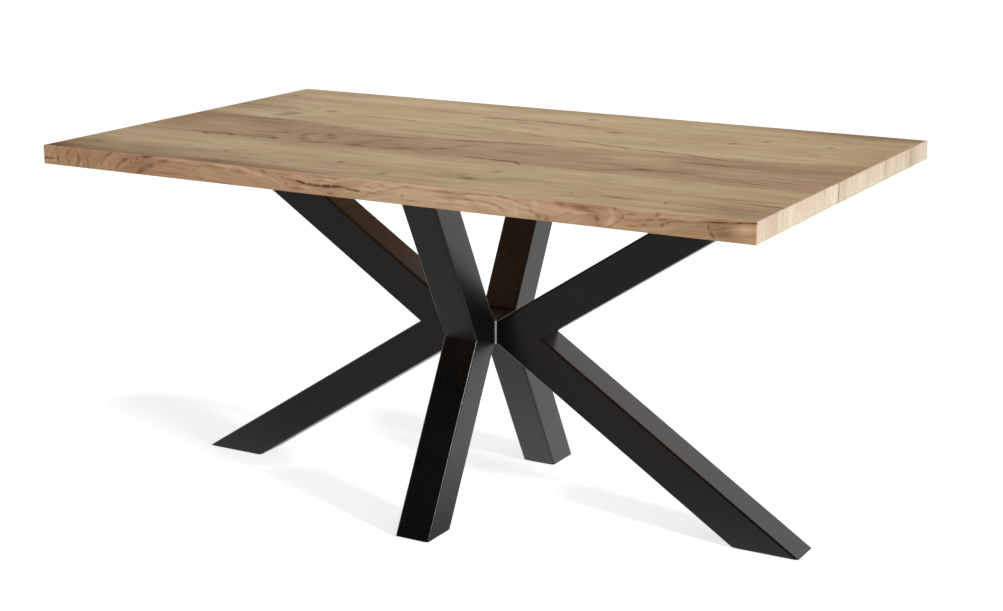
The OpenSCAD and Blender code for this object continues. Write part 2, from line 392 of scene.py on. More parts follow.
def wood_colour(signals, tones):
    """Tones from dark to pale oak, redder and greener in blotches."""
    colour = signals.tone.add("ShaderNodeValToRGB", None, {"Fac": signals.tone})
    stops = colour.socket.node.color_ramp.elements
    while len(stops) < len(tones):
        stops.new(0.5)
    for stop, place, tone in zip(stops, WOOD_STOPS, tones):
        stop.position = place
        stop.color = paint(tone)
    colour = signals.blotch.rise(BLOTCH_MIDDLE, BLOTCH_RED).mix(colour, REDDER, "MULTIPLY")
    return signals.blotch.rise(BLOTCH_MIDDLE, BLOTCH_GREEN).mix(colour, GREENER, "MULTIPLY")


def wood_material(name, build, tones, roughness, specular):
    """A material from a function that turns the Object coordinates into wood signals."""
    material, point = new_material(name)
    signals = build(point)
    gloss = signals.fibre.spread(roughness - GLOSS_VARIES, roughness + GLOSS_VARIES)
    height = signals.fibre * FIBRE_HEIGHT - signals.pores * PORE_HEIGHT
    inputs = {
        "Base Color": wood_colour(signals, tones),
        "Roughness": gloss + signals.pores * GLOSS_VARIES,
        "Normal": height.bump(*OAK_RELIEF),
        "Specular IOR Level": specular,
    }
    return close_material(material, point, inputs)


# Meshes


def block(low, high):
    """A closed box between two corners."""
    mesh = bmesh.new()
    bmesh.ops.create_cube(mesh, size=1)
    bmesh.ops.scale(mesh, vec=high - low, verts=mesh.verts)
    bmesh.ops.translate(mesh, vec=(low + high) / 2, verts=mesh.verts)
    return mesh


def soften(mesh, geometry, radius, segments, affect="EDGES"):
    """Rounds edges or corners, or chamfers them with one segment."""
    bmesh.ops.bevel(
        mesh,
        geom=geometry,
        offset=radius,
        offset_type="OFFSET",
        segments=segments,
        profile=0.5,
        affect=affect,
        clamp_overlap=True,
        material=-1,
    )


def rounded_face(length, width, corner):
    """One flat face in the XY plane: a rectangle with rounded corners."""
    mesh = bmesh.new()
    bmesh.ops.create_grid(mesh, x_segments=1, y_segments=1, size=0.5)
    bmesh.ops.scale(mesh, vec=(length, width, 1), verts=mesh.verts)
    soften(mesh, mesh.verts[:], corner, CORNER_STEPS, "VERTICES")
    return mesh


def drilled_face(length, width, corner, holes, drill):
    """A rounded face with round holes at some places."""
    mesh = rounded_face(length, width, corner)
    bmesh.ops.delete(mesh, geom=mesh.faces[:], context="FACES_ONLY")
    for x, y in holes:
        place = Matrix.Translation((x, y, 0))
        bmesh.ops.create_circle(mesh, cap_ends=False, segments=HOLE_STEPS, radius=drill / 2, matrix=place)
    bmesh.ops.triangle_fill(mesh, use_beauty=True, use_dissolve=True, edges=mesh.edges[:])
    return mesh


def thicken(mesh, shift):
    """Extrudes every face of a flat sheet by a vector, and keeps the sheet as the other side."""
    made = bmesh.ops.extrude_face_region(mesh, geom=mesh.faces[:], use_keep_orig=True)["geom"]
    far = [v for v in made if isinstance(v, bmesh.types.BMVert)]
    bmesh.ops.translate(mesh, vec=shift, verts=far)
    bmesh.ops.recalc_face_normals(mesh, faces=mesh.faces)
    return far


def level_rims(mesh):
    """The crisp edges that lie level."""
    return [
        edge
        for edge in mesh.edges
        if abs(edge.verts[0].co.z - edge.verts[1].co.z) < LEVEL and edge.calc_face_angle(0) > CRISP_ANGLE
    ]


def cut(mesh, place, outward, closed=True):
    """Cuts away what lies on the outward side of a plane. Closes the cut, rim to rim where it is a ring.

    A cut that isn't closed keeps its rim alone."""
    made = bmesh.ops.bisect_plane(
        mesh,
        geom=mesh.verts[:] + mesh.edges[:] + mesh.faces[:],
        dist=MERGED,
        plane_co=place,
        plane_no=outward,
        clear_outer=True,
        clear_inner=not closed,
    )["geom_cut"]
    if not closed:
        return
    rim = [e for e in made if isinstance(e, bmesh.types.BMEdge) and e.is_valid and e.is_boundary]
    if count_loops(rim) == 2:
        bmesh.ops.bridge_loops(mesh, edges=rim)
    else:
        bmesh.ops.edgeloop_fill(mesh, edges=rim)
    bmesh.ops.recalc_face_normals(mesh, faces=mesh.faces)


def count_loops(edges):
    """How many separate closed loops a set of edges makes."""
    left = set(edges)
    loops = 0
    while left:
        loops += 1
        front = [left.pop()]
        while front:
            edge = front.pop()
            joined = {e for v in edge.verts for e in v.link_edges} & left
            left -= joined
            front.extend(joined)
    return loops


def join(mesh, other):
    """Moves another mesh into this one, and hands back its edges."""
    had = len(mesh.edges)
    held = bpy.data.meshes.new("held")
    other.to_mesh(held)
    other.free()
    mesh.from_mesh(held)
    bpy.data.meshes.remove(held)
    mesh.edges.ensure_lookup_table()
    return mesh.edges[had:]


def place_mesh(name, mesh, material):
    """Turns a mesh into an object at the origin, with one material."""
    data = bpy.data.meshes.new(name)
    mesh.to_mesh(data)
    mesh.free()
    data.materials.append(material)
    made = bpy.data.objects.new(name, data)
    bpy.context.scene.collection.objects.link(made)
    return made


def piece(name, mesh, material, node):
    """Makes a shown piece of a mesh. It stands for a CAD node, or for none, and rides on the table."""
    bmesh.ops.remove_doubles(mesh, verts=mesh.verts, dist=MERGED)
    bmesh.ops.recalc_face_normals(mesh, faces=mesh.faces)
    for face in mesh.faces:
        face.smooth = True
    for edge in mesh.edges:
        edge.smooth = not edge.is_manifold or edge.calc_face_angle(0) < CRISP_ANGLE
    made = place_mesh(name, mesh, material)
    made.modifiers.new("Flat faces", "WEIGHTED_NORMAL").keep_sharp = True
    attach(made, BODY)
    if node:
        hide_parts(node)


def dress(node, material):
    """Gives a CAD node that stays a better material."""
    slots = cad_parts[node].material_slots
    if not slots:
        raise RuntimeError(f"{node} has no material slot")
    for held in slots:
        held.material = material


# Where the pieces run


def quarter_turn(side):
    """Turns the +X side of the table to a side."""
    return Matrix.Rotation(math.tau / len(SIDES) * SIDES.index(side), 4, "Z")


def outward(side):
    """The level direction in which the leg of a side reaches out."""
    return quarter_turn(side) @ X_AXIS


def span(node, direction):
    """Where a node starts and ends along a direction."""
    return sorted(corner.dot(direction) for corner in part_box(node))


def leg_shape(side):
    """Where one bent leg runs, read from the CAD nodes, with its side turned to +X."""
    direction = outward(side)
    low, high = span("hub_tube", Z_AXIS)
    back = span("hub_tube", direction)[1]
    width = 2 * span(f"{side}_lower_leg", Z_AXIS.cross(direction))[1]
    bottom, inside = span(f"{side}_foot_plate", Z_AXIS)
    top = span(f"{side}_upper_arm", Z_AXIS)[1]

    def rake(run, rise):
        return math.atan2(rise, run) + math.asin(width / math.hypot(run, rise))

    leg_rake = rake(span(f"{side}_foot_plate", direction)[1] - back, low - bottom)
    arm_rake = rake(span(f"{side}_upper_arm", direction)[1] - back, top - high)
    behind = (high - low) / (math.tan(leg_rake) + math.tan(arm_rake))
    return SimpleNamespace(
        turn=quarter_turn(side),
        width=width,
        back=back,
        plate=span(f"{side}_hub_plate", direction)[1],
        leg_rake=leg_rake,
        arm_rake=arm_rake,
        knee=Vector((back - behind, 0, low + behind * math.tan(leg_rake))),
        mitre=(arm_rake - leg_rake) / 2,
        bottom=bottom,
        inside=inside,
        top=top,
    )


def raked_stock(shape, up, size, corner, wall):
    """Square stock that runs from the knee outwards, up along the arm or down along the leg.

    It is a tube where it has a wall. Its axis is that of the table's own tube, whatever its size."""
    mesh = rounded_face(size, size, corner)
    if wall:
        rim = bmesh.ops.inset_region(
            mesh, faces=mesh.faces[:], thickness=wall, use_boundary=True, use_even_offset=True
        )["faces"]
        bmesh.ops.delete(mesh, geom=list(set(mesh.faces) - set(rim)), context="FACES_ONLY")
    thicken(mesh, Z_AXIS * STOCK_LENGTH)
    lay = Matrix.Rotation(math.pi / 2, 4, "Y")
    seat = Matrix.Translation((-STOCK_BEHIND, 0, -shape.width / 2 if up else shape.width / 2))
    slope = Matrix.Rotation(-shape.arm_rake if up else shape.leg_rake, 4, "Y")
    place = Matrix.Translation(shape.knee) @ slope @ seat @ lay
    bmesh.ops.transform(mesh, matrix=place, verts=mesh.verts)
    return mesh


def lower_leg(shape, base):
    """The tube from the knee down to the plate in the foot."""
    mesh = raked_stock(shape, False, shape.width, base.corner, base.wall)
    cut(mesh, Vector((0, 0, shape.inside)), -Z_AXIS)
    cut(mesh, shape.knee, Vector((-math.sin(shape.mitre), 0, math.cos(shape.mitre))))
    cut(mesh, Vector((shape.plate, 0, 0)), -X_AXIS)
    return mesh


def upper_arm(shape, base):
    """The tube from the knee up to the mounting plate."""
    mesh = raked_stock(shape, True, shape.width, base.corner, base.wall)
    cut(mesh, Vector((0, 0, shape.top)), Z_AXIS)
    cut(mesh, shape.knee, Vector((math.sin(shape.mitre), 0, -math.cos(shape.mitre))))
    cut(mesh, Vector((shape.plate, 0, 0)), -X_AXIS)
    return mesh


def foot_plate(shape, base):
    """The plate that closes the foot, its lower rim broken."""
    mesh = raked_stock(shape, False, shape.width, base.corner, 0)
    cut(mesh, Vector((0, 0, shape.bottom)), -Z_AXIS)
    cut(mesh, Vector((0, 0, shape.inside)), Z_AXIS)
    rim = [e for e in mesh.edges if all(abs(v.co.z - shape.bottom) < LEVEL for v in e.verts)]
    soften(mesh, rim, base.broken_edge, BROKEN_STEPS)
    return mesh


def hub_plate(shape, side, base):
    """The plate on the back of a leg. Its slanted rims carry on the inner faces of the leg and the arm."""
    low, high = span(f"{side}_hub_plate", Z_AXIS)
    tube_low, tube_high = span("hub_tube", Z_AXIS)
    centre = (low + high) / 2
    places = [((tube_low + tube_high) / 2 - centre + step * base.hub_pitch / 2, 0) for step in (-1, 1)]
    mesh = drilled_face(high - low, shape.width, base.corner, places, base.hub_drill)
    for vert in thicken(mesh, Z_AXIS * (shape.plate - shape.back)):
        if vert.co.x > base.hub_pitch:
            vert.co.x -= high - tube_high
        elif vert.co.x < -base.hub_pitch:
            vert.co.x += tube_low - low
    stand = Matrix.Translation((shape.plate, 0, centre)) @ Matrix.Rotation(-math.pi / 2, 4, "Y")
    bmesh.ops.transform(mesh, matrix=stand, verts=mesh.verts)
    return mesh


def level_plate(node, side, corner, inset=0, drill=0):
    """A flat plate with rounded corners that fills the box of a node, with its side turned to +X."""
    near, far = span(node, outward(side))
    left, right = span(node, Z_AXIS.cross(outward(side)))
    low, high = span(node, Z_AXIS)
    length, width = far - near, right - left
    if drill:
        holes = [(x * (length / 2 - inset), y * (width / 2 - inset)) for x, y in CORNERS]
        mesh = drilled_face(length, width, corner, holes, drill)
    else:
        mesh = rounded_face(length, width, corner)
    thicken(mesh, Z_AXIS * (high - low))
    bmesh.ops.translate(mesh, vec=((near + far) / 2, 0, low), verts=mesh.verts)
    return mesh


def weld_bead(shape, base):
    """The weld round the upper end of an arm, in the corner under its mounting plate."""
    mesh = bmesh.new()
    rims = []
    for out, down in ((0, 1), (BEAD_BULGE, BEAD_BULGE), (1, 0)):
        reach = out * base.bead
        level = raked_stock(shape, True, shape.width + 2 * reach, base.corner + reach, 0)
        cut(level, Vector((0, 0, shape.top - down * base.bead)), Z_AXIS, closed=False)
        rims.append(join(mesh, level))
    for lower, upper in zip(rims, rims[1:]):
        bmesh.ops.bridge_loops(mesh, edges=lower + upper)
    for rim in (rims[0], rims[-1]):
        bmesh.ops.edgeloop_fill(mesh, edges=rim)
    return mesh


def hub_caps(base):
    """The caps on the ends of the hub tube, with their pegs in its corners."""
    width = 2 * span("hub_caps", X_AXIS)[1]
    low, high = span("hub_tube", Z_AXIS)
    half = (high - low) / 2
    thickness = span("hub_caps", Z_AXIS)[1] - high
    mesh = rounded_face(width, width, base.hub_corner)
    thicken(mesh, Z_AXIS * thickness)
    rim = [e for e in level_rims(mesh) if e.verts[0].co.z > thickness / 2]
    soften(mesh, rim, thickness * CAP_ROUNDING, ARRIS_STEPS)
    for x, y in CORNERS:
        place = Matrix.Translation((x * base.peg_place, y * base.peg_place, -base.peg_length / 2))
        bmesh.ops.create_cone(
            mesh,
            cap_ends=True,
            segments=HOLE_STEPS,
            radius1=base.peg_d / 2 * PEG_TIP,
            radius2=base.peg_d / 2,
            depth=base.peg_length,
            matrix=place,
        )
    bmesh.ops.translate(mesh, vec=Z_AXIS * half, verts=mesh.verts)
    made = bmesh.ops.duplicate(mesh, geom=mesh.verts[:] + mesh.edges[:] + mesh.faces[:])["geom"]
    bmesh.ops.scale(mesh, vec=(1, 1, -1), verts=[v for v in made if isinstance(v, bmesh.types.BMVert)])
    bmesh.ops.translate(mesh, vec=Z_AXIS * (low + half), verts=mesh.verts)
    return mesh


# Sizes and colours


def a_length(name, description, default, low, high):
    """A length that can be set, in metres."""
    return bpy.props.FloatProperty(
        name=name, description=description, default=default, min=low, max=high, unit="LENGTH"
    )


def an_amount(name, description, default, low=0, high=1):
    """A number without a unit that can be set."""
    return bpy.props.FloatProperty(name=name, description=description, default=default, min=low, max=high)


def a_colour(name, description, default):
    """A colour that can be set."""
    return bpy.props.FloatVectorProperty(
        name=name, description=description, default=default, min=0, max=1, subtype="COLOR"
    )


def a_place(name, description, default):
    """A place that can be set, in metres."""
    return bpy.props.FloatVectorProperty(
        name=name, description=description, default=default, subtype="TRANSLATION", unit="LENGTH"
    )


class BoardSettings(bpy.types.PropertyGroup):
    """The laminated board."""

    arris: a_length("Arris", "Radius of the outer edges of the edge bands", 0.0009, 0.0002, 0.0015)
    scrape: a_length("Scrape", "Small chamfer along the rim of the decor", 0.00015, 0.00005, 0.0004)
    dark: a_colour("Dark oak", "Darkest tone of the oak decor", (0.12, 0.052, 0.017))
    deep: a_colour("Deep oak", "Deep tone of the oak decor", (0.261, 0.162, 0.0746))
    middle: a_colour("Middle oak", "Middle tone of the oak decor", (0.37, 0.2455, 0.127))
    light: a_colour("Light oak", "Light tone of the oak decor", (0.475, 0.3395, 0.19))
    pale: a_colour("Pale oak", "Palest tone of the oak decor", (0.57, 0.43, 0.255))


class BaseSettings(bpy.types.PropertyGroup):
    """The welded steel base."""

    corner: a_length("Tube corner", "Outer corner radius of the square tube", 0.003, 0.002, 0.008)
    wall: a_length("Tube wall", "Wall of the square tube", 0.002, 0.001, 0.004)
    bead: a_length("Weld bead", "Leg length of the weld between an arm and its plate", 0.0035, 0.001, 0.006)
    plate_corner: a_length("Plate corner", "Corner radius of the mounting plates", 0.008, 0.002, 0.015)
    plate_inset: a_length("Plate hole inset", "How far in the holes of a plate lie", 0.014, 0.008, 0.018)
    plate_drill: a_length("Plate holes", "Diameter of the holes in the mounting plates", 0.0056, 0.003, 0.008)
    broken_edge: a_length("Broken edge", "How far the rims of the plates are broken", 0.0004, 0.0001, 0.001)
    glide_corner: a_length("Glide corner", "Corner radius of the glide pads", 0.004, 0.001, 0.01)
    hub_corner: a_length("Hub corner", "Outer corner radius of the hub caps", 0.004, 0.001, 0.006)
    hub_pitch: a_length("Hub screw pitch", "Between the two hub screws of a leg", 0.014, 0.012, 0.018)
    hub_drill: a_length("Hub holes", "Diameter of the holes in the hub plates", 0.0066, 0.004, 0.008)
    peg_place: a_length("Peg place", "How far out a cap's pegs are in X and Y", 0.0193, 0.01, 0.025)
    peg_d: a_length("Peg diameter", "Diameter of a cap's pegs", 0.007, 0.006, 0.009)
    peg_length: a_length("Peg length", "Length of a cap's pegs", 0.008, 0.004, 0.012)
    coat: a_colour("Powder coat", "Colour of the powder coat", (0.0022, 0.0019, 0.0016))
    gloss: an_amount("Coat roughness", "Roughness of the powder coat", 0.25, 0.05)


class StudioSettings(bpy.types.PropertyGroup):
    """The floor, the lamp and the camera."""

    key_power: bpy.props.FloatProperty(
        name="Key lamp", description="Power of the lamp on the right", default=45, min=0, unit="POWER"
    )
    key_place: a_place("Key lamp place", "Where the key lamp stands", (3.05, -0.85, 1.05))
    ambient: an_amount("Ambient", "Strength of the light that comes from all around", 0.82, high=2)
    glow: an_amount("Floor white", "How bright the floor is seen where no light falls on it", 0.75)
    shadow: an_amount("Floor shadows", "How much of the light on the floor is seen", 0.8)
    lift: an_amount("Floor white under the table", "How much brighter the shade under the top is seen", 0.06)
    far: an_amount("Floor white around", "How much brighter the floor is seen away from the feet", 0.14)
    front_floor: an_amount("Floor gloss in front", "How bright the floor in front is in the gloss", 0.36)
    eye: a_place("Camera place", "Where the camera stands", (1.2389, -2.1653, 0.9132))
    pitch: bpy.props.FloatProperty(
        name="Camera pitch", description="How far the camera looks down", default=0.2530, unit="ROTATION"
    )
    yaw: bpy.props.FloatProperty(
        name="Camera yaw",
        description="How far the camera is turned from +Y towards -X",
        default=0.5127,
        unit="ROTATION",
    )
    lens: bpy.props.FloatProperty(
        name="Focal length",
        description="Focal length of the camera, in millimetres",
        default=68.66,
        min=10,
        unit="CAMERA",
    )


class TableSettings(bpy.types.PropertyGroup):
    """Everything that can be set on the coffee table."""

    board: bpy.props.PointerProperty(type=BoardSettings)
    base: bpy.props.PointerProperty(type=BaseSettings)
    studio: bpy.props.PointerProperty(type=StudioSettings)


def settings():
    """What is set on the coffee table in this scene."""
    return bpy.context.scene.coffee_table


# Finishes


# A figure is the pattern of one face. Its seed picks the noise. drift and ripple say how far the grain
# wanders slowly and quickly, in metres, and waves how many ripples a metre has. pitch says how fine the
# streaks are. tone is the mean tone, from 0 for the darkest to 1 for the palest. clouds, streaks and fibre
# say how far each kind of noise moves the tone. waver is how far the outlines of the marks waver over the
# grain, in metres. The depths say how far the rings, cracks, soft streaks and knots darken the tone, and
# gleam how far the pale streaks lighten it. Places and sizes in the rows of the lists are in millimetres.
TOP_FIGURE = SimpleNamespace(
    seed=2.0,
    drift=0.03,
    waves=7.0,
    ripple=0.014,
    pitch=1.0,
    tone=0.745,
    clouds=0.56,
    streaks=0.5,
    fibre=0.42,
    # Growth rings: how many in a metre, how many waves in a metre, and over how many rings a wave reaches
    rings=(34.0, 3.2, 7.0),
    ring_depth=0.14,
    waver=0.006,
    # Bends in the grain: along, across, half length, half width, and the lift in metres
    bends=(
        (-235, -70, 100, 48, 0.05),
        (-120, -75, 120, 44, -0.04),
        (20, 0, 200, 60, 0.03),
        (262, -78, 100, 36, 0.035),
        (109, -228, 80, 28, 0.022),
        (-360, 100, 100, 50, 0.03),
        (420, 160, 140, 60, -0.03),
        (150, 200, 100, 36, 0.02),
    ),
    # Lighter and darker areas: along, across, half length, half width, change. Those by the ends are painted
    # shade
    shades=(
        (-70, 235, 500, 70, 0.12),
        (420, 310, 350, 60, -0.32),
        (-400, -320, 500, 100, -0.62),
        (-500, -300, 70, 50, -0.45),
        (-150, -300, 140, 40, -0.25),
        (0, 310, 900, 70, -0.17),
        (420, 240, 280, 40, -0.14),
        (520, 200, 180, 60, -0.14),
        (-20, 10, 300, 40, 0.16),
        (60, -200, 350, 35, 0.12),
        (-460, 112, 140, 35, -0.18),
        (-520, 140, 120, 160, -0.22),
        (540, -220, 200, 120, -0.2),
        (540, 100, 160, 160, -0.2),
        (-420, 10, 220, 60, -0.12),
        (430, 0, 200, 50, -0.14),
        (280, -78, 100, 30, -0.14),
        (-140, -75, 140, 40, -0.1),
        (20, -165, 400, 40, 0.08),
        (-300, -240, 250, 30, -0.1),
        (-480, -240, 70, 50, -0.3),
        (-480, -40, 80, 50, -0.2),
        (460, -240, 160, 60, -0.14),
        (420, 280, 300, 30, -0.18),
        (-250, 240, 300, 35, 0.14),
        (-400, 45, 160, 30, 0.16),
        (220, -20, 80, 50, 0.2),
    ),
    # Redder and greener areas, in the same form. Below 0 is redder.
    reds=((-320, -310, 400, 90, -0.3), (-100, 90, 500, 30, -0.04), (400, -270, 250, 40, -0.12)),
    # Cracks: half width, then the places that they run through, each along and across
    cracks=(
        (6.2, (-135, 181.5), (-20, 190)),
        (6.2, (-50, 190), (75, 182)),
        (5.2, (70, 72.5), (135, 58)),
        (5.8, (115, 61), (200, 47)),
        (4.8, (180, 48.5), (265, 43.5)),
        (5.2, (245, 46), (335, 27)),
        (5.2, (-75, -14), (30, 11.5)),
        (5, (0, 5), (115, 24.5)),
        (4.8, (22, -103.5), (62, -108.5)),
        (5, (55, -108.5), (108, -105)),
        (4, (100, -106.5), (118, -124)),
        (4.2, (420, -210.5), (530, -215.5)),
    ),
    crack_depth=0.5,
    # Soft streaks, in the same form
    soft_streaks=(
        (11.2, (-250, 200), (-100, 206)),
        (8, (-300, 105), (-100, 107)),
        (12.5, (-130, 107.5), (-20, 88.5)),
        (9, (-40, 92.5), (85, 71)),
        (5.2, (90, 23.5), (200, 16)),
        (8.5, (-215, -36), (-50, -8.5)),
        (8, (-520, 24), (-220, 26)),
        (7, (-230, 26), (0, 33)),
        (12, (-235, -116), (-170, -99), (-115, -105), (-50, -85), (-20, -60), (-10, -25)),
        (10.5, (-330, -77), (-262.5, -59.5), (-231, -47.5), (-209, -56), (-193, -80)),
        (9, (-253, -57), (-240, -84), (-219, -106)),
        (11, (20, -45), (120, -55)),
        (9.5, (280, -249), (345, -252.5)),
        (4, (190, -271), (330, -263)),
        (4.5, (300, -286), (490, -276)),
        (3.5, (400, -263), (530, -269)),
        (7, (-320, -90), (-260, -98)),
        (7.5, (-400, -110), (-330, -111), (-262, -104)),
        (9, (-156, -55), (-100, -42)),
        (4.6, (120, -204), (270, -210)),
        (5, (270, -212), (530, -188)),
        (5, (370, -240), (520, -247)),
        (4, (360, -256), (500, -251)),
        (4, (310, -74), (530, -100)),
        (4, (330, -88), (530, -115)),
        (4, (350, -63), (530, -90)),
        (5.5, (150, -70), (250, -60)),
        (9, (200, -108), (270, -83)),
        (5.5, (270, -68), (400, -94)),
        (11, (250, -6), (380, -8)),
        (9.6, (-530, 125), (-380, 124)),
        (4.5, (-300, -246), (-140, -252.5)),
        (6.5, (-180, -247), (-145, -260)),
        (9.6, (-320, -286), (-170, -284)),
        (16, (-275, -286), (-195, -288)),
        (12, (-55, 172), (-25, 163)),
    ),
    streak_depth=0.33,
    # Knots, in the same form
    knots=(
        (11.5, (22, 243), (48, 235)),
        (16.5, (-343, 139), (-328, 112)),
        (19, (-363, 96), (-384, 64.5)),
        (15, (-383.5, 75), (-374, 50)),
        (9.5, (-478, 237.5), (-462.5, 221.5)),
        (8.8, (92, 157.5), (128, 151)),
        (8.8, (277, 154.5), (293, 146.5)),
        (8.5, (310, 187), (326, 178)),
        (8.8, (402, 184), (414, 176)),
        (9.8, (240, -81.5), (284, -71.5)),
        (6.5, (-386.5, -108.5), (-364.5, -126)),
        (7, (-350, -103.5), (-323, -119.5)),
        (9.5, (-281, -101), (-258, -113)),
        (11.5, (106, -171), (120, -180)),
        (11.5, (90, -234), (120, -228.5)),
        (4, (253, -245.5), (254.5, -258.5)),
        (4, (370, -246), (372, -260)),
        (8.5, (-93.5, -207), (-82, -221.5)),
        (10.5, (-8, -257), (8, -253.5)),
        (7.5, (-268, -214), (-257, -226)),
    ),
    knot_depth=0.46,
    # Pale streaks, in the same form
    gleams=(
        (4, (340, -83), (530, -108)),
        (4.5, (-120, -118), (-20, -107)),
        (6, (-235, -72), (-208, -88)),
        (4, (120, -89), (200, -80)),
        (6, (-100, 0), (20, 20)),
    ),
    gleam=0.16,
)

EDGE_FIGURE = SimpleNamespace(
    seed=11.0,
    drift=0.006,
    waves=34.0,
    ripple=0.006,
    pitch=2.2,
    tone=0.71,
    clouds=0.6,
    streaks=0.66,
    fibre=0.5,
    rings=(140.0, 24.0, 1.5),
    ring_depth=0.13,
    waver=0.0018,
    # The grain lies in hills, and stands up in arcs round the last two of them
    bends=(
        (-330, 478, 260, 300, -0.017),
        (90, 478, 170, 300, -0.03),
        (300, 482, 55, 22, -0.011),
        (560, 478, 220, 300, -0.024),
    ),
    shades=(
        (100, 478, 360, 60, 0.22),
        (-380, 478, 260, 60, -0.12),
        (470, 478, 160, 60, -0.1),
        (284, 486.5, 35, 6, -0.2),
        (308, 477, 20, 8, -0.18),
        (462, 476.5, 26, 14, -0.3),
        (-180, 485, 90, 7, 0.14),
        (-480, 478, 35, 30, 0.16),
        (400, 487, 80, 8, 0.25),
        (490, 480, 30, 30, 0.2),
        (-340, 478, 50, 30, -0.2),
        (240, 468, 30, 12, -0.2),
        (-50, 476.5, 70, 12, -0.2),
        (295, 487, 50, 6, -0.14),
    ),
    reds=((-280, 478, 260, 80, -0.2), (90, 478, 200, 80, 0.16)),
    cracks=(
        (2.4, (-99, 479.8), (-83, 477), (-62, 476.3), (-46, 477.3), (-30, 478.5)),
        (2.2, (-42, 478.2), (-25.5, 477.9), (-12.5, 476)),
        (1.8, (-16, 477), (-1, 475.3)),
        (1.3, (440, 484), (470, 486.8), (510, 489.7)),
        (1.9, (-506, 473.3), (-477.5, 473.7)),
        (1.4, (-477, 479), (-475.5, 469)),
        (1, (-353.5, 483), (-354, 478.5)),
        (1, (-342, 487), (-342.5, 483)),
    ),
    crack_depth=0.7,
    soft_streaks=(
        (1.8, (-476, 490.5), (-476.5, 478), (-474, 464)),
        (1.6, (-457.5, 487.5), (-461, 477), (-457.5, 468)),
        (5.1, (-443, 490.5), (-442.5, 464)),
        (1.9, (-425.5, 485.5), (-425.5, 464)),
        (2.4, (-383, 491.5), (-396, 482), (-402.5, 471)),
        (3.6, (-358, 484.5), (-370, 478.6), (-379, 466.5)),
        (5.3, (-315, 481), (-327.7, 475.9), (-345, 466.5)),
        (4.5, (-284, 488.8), (-315, 483.2)),
        (2.3, (-238, 486.2), (-249.5, 482), (-252, 476.5)),
        (3.9, (-238, 485.7), (-200, 484), (-169, 481.2)),
        (3.9, (-150, 489), (-136, 483)),
        (1.9, (-120, 483.8), (-113, 479.5), (-108, 469.5)),
        (2.7, (-117, 481.2), (-90, 478.8)),
        (1.8, (-78, 489), (-53.5, 487.1), (-34, 486.5)),
        (2.1, (-73, 482.7), (-52, 482.7)),
        (3.6, (-108, 470.3), (-83, 470.3)),
        (3, (-55, 469.2), (-38, 468.6)),
        (1.8, (-1, 476.6), (26, 473.7)),
        (1.4, (20, 486.8), (30, 483.6), (41, 483.2)),
        (1.6, (2, 482.3), (18, 479.2), (30, 476.8)),
        (1.5, (35, 476.4), (47, 474.9)),
        (3.3, (55, 480.5), (55.5, 472.5)),
        (2.4, (50, 487.4), (72, 486.8)),
        (1.6, (60, 470.8), (76, 471.2), (82, 469.4)),
        (1.9, (91, 485.7), (130, 485.6), (154, 487.6), (178, 487.8), (205, 486)),
        (1.8, (200, 486.5), (220, 483.6), (229, 479.5), (231, 473)),
        (3.3, (231, 472.2), (242, 467.5)),
        (1.9, (104, 479.2), (133, 479.7), (155, 480), (176, 478.4)),
        (1.9, (172, 478.8), (184, 476.5), (189, 472.5), (198, 466.5)),
        (2.1, (100, 472.7), (137, 471)),
        (3.9, (240, 469), (252, 466.5)),
        (4.5, (256, 488.5), (274, 484.8), (310, 483)),
        (1.6, (331, 490.5), (337.5, 486.2), (344, 482)),
        (1.6, (344, 483), (338, 476.5), (332, 470.5), (322, 466)),
        (1.8, (343, 482.8), (360, 484.8)),
        (1.9, (345, 470), (360, 471.8), (374, 475)),
        (3, (388, 474), (396, 478.6), (402, 482)),
        (5.3, (385, 490.5), (381, 482)),
        (2.2, (442, 482.5), (443.5, 475.5), (451.5, 467)),
        (2.8, (396, 481.5), (427, 483.2), (461, 486), (510, 489.3)),
        (3.4, (455, 485.3), (510, 489.2)),
        (2.8, (370, 479.7), (383, 481.5), (400, 482.8)),
        (4.5, (312, 482), (308, 468)),
    ),
    streak_depth=0.4,
    knots=((2.8, (-340, 488.6), (-316, 489.3)), (1.1, (-150.2, 479.5), (-149.6, 475))),
    knot_depth=0.56,
    gleams=(
        (2.8, (-438, 478), (-436.5, 465)),
        (3.6, (-392, 478), (-394, 467)),
        (3, (-222, 487.8), (-183, 488.5), (-162, 483), (-138, 481), (-116, 470)),
        (2.4, (-110, 487.2), (-77, 484.6)),
        (3.2, (-64, 484.7), (-32, 484.7)),
        (1.6, (-78, 479.7), (-38, 480.4)),
        (3, (-98, 472.8), (-68, 472.8)),
        (2.7, (-8, 479.2), (22, 478.7)),
        (2.7, (26, 486.8), (49, 486.5)),
        (2.2, (62, 489), (117, 488.9)),
        (2.4, (136, 483.8), (165, 485.3), (196, 484.6), (217, 479.5)),
        (3.2, (125, 476.2), (150, 477.5), (173, 476.3), (183, 472.5)),
        (4.9, (207, 481.5), (211.5, 466)),
        (3, (225, 489), (236, 481)),
        (4.9, (326, 488.5), (331, 479), (320, 467)),
        (4.1, (268, 479.7), (305, 479.7)),
    ),
    gleam=0.27,
)

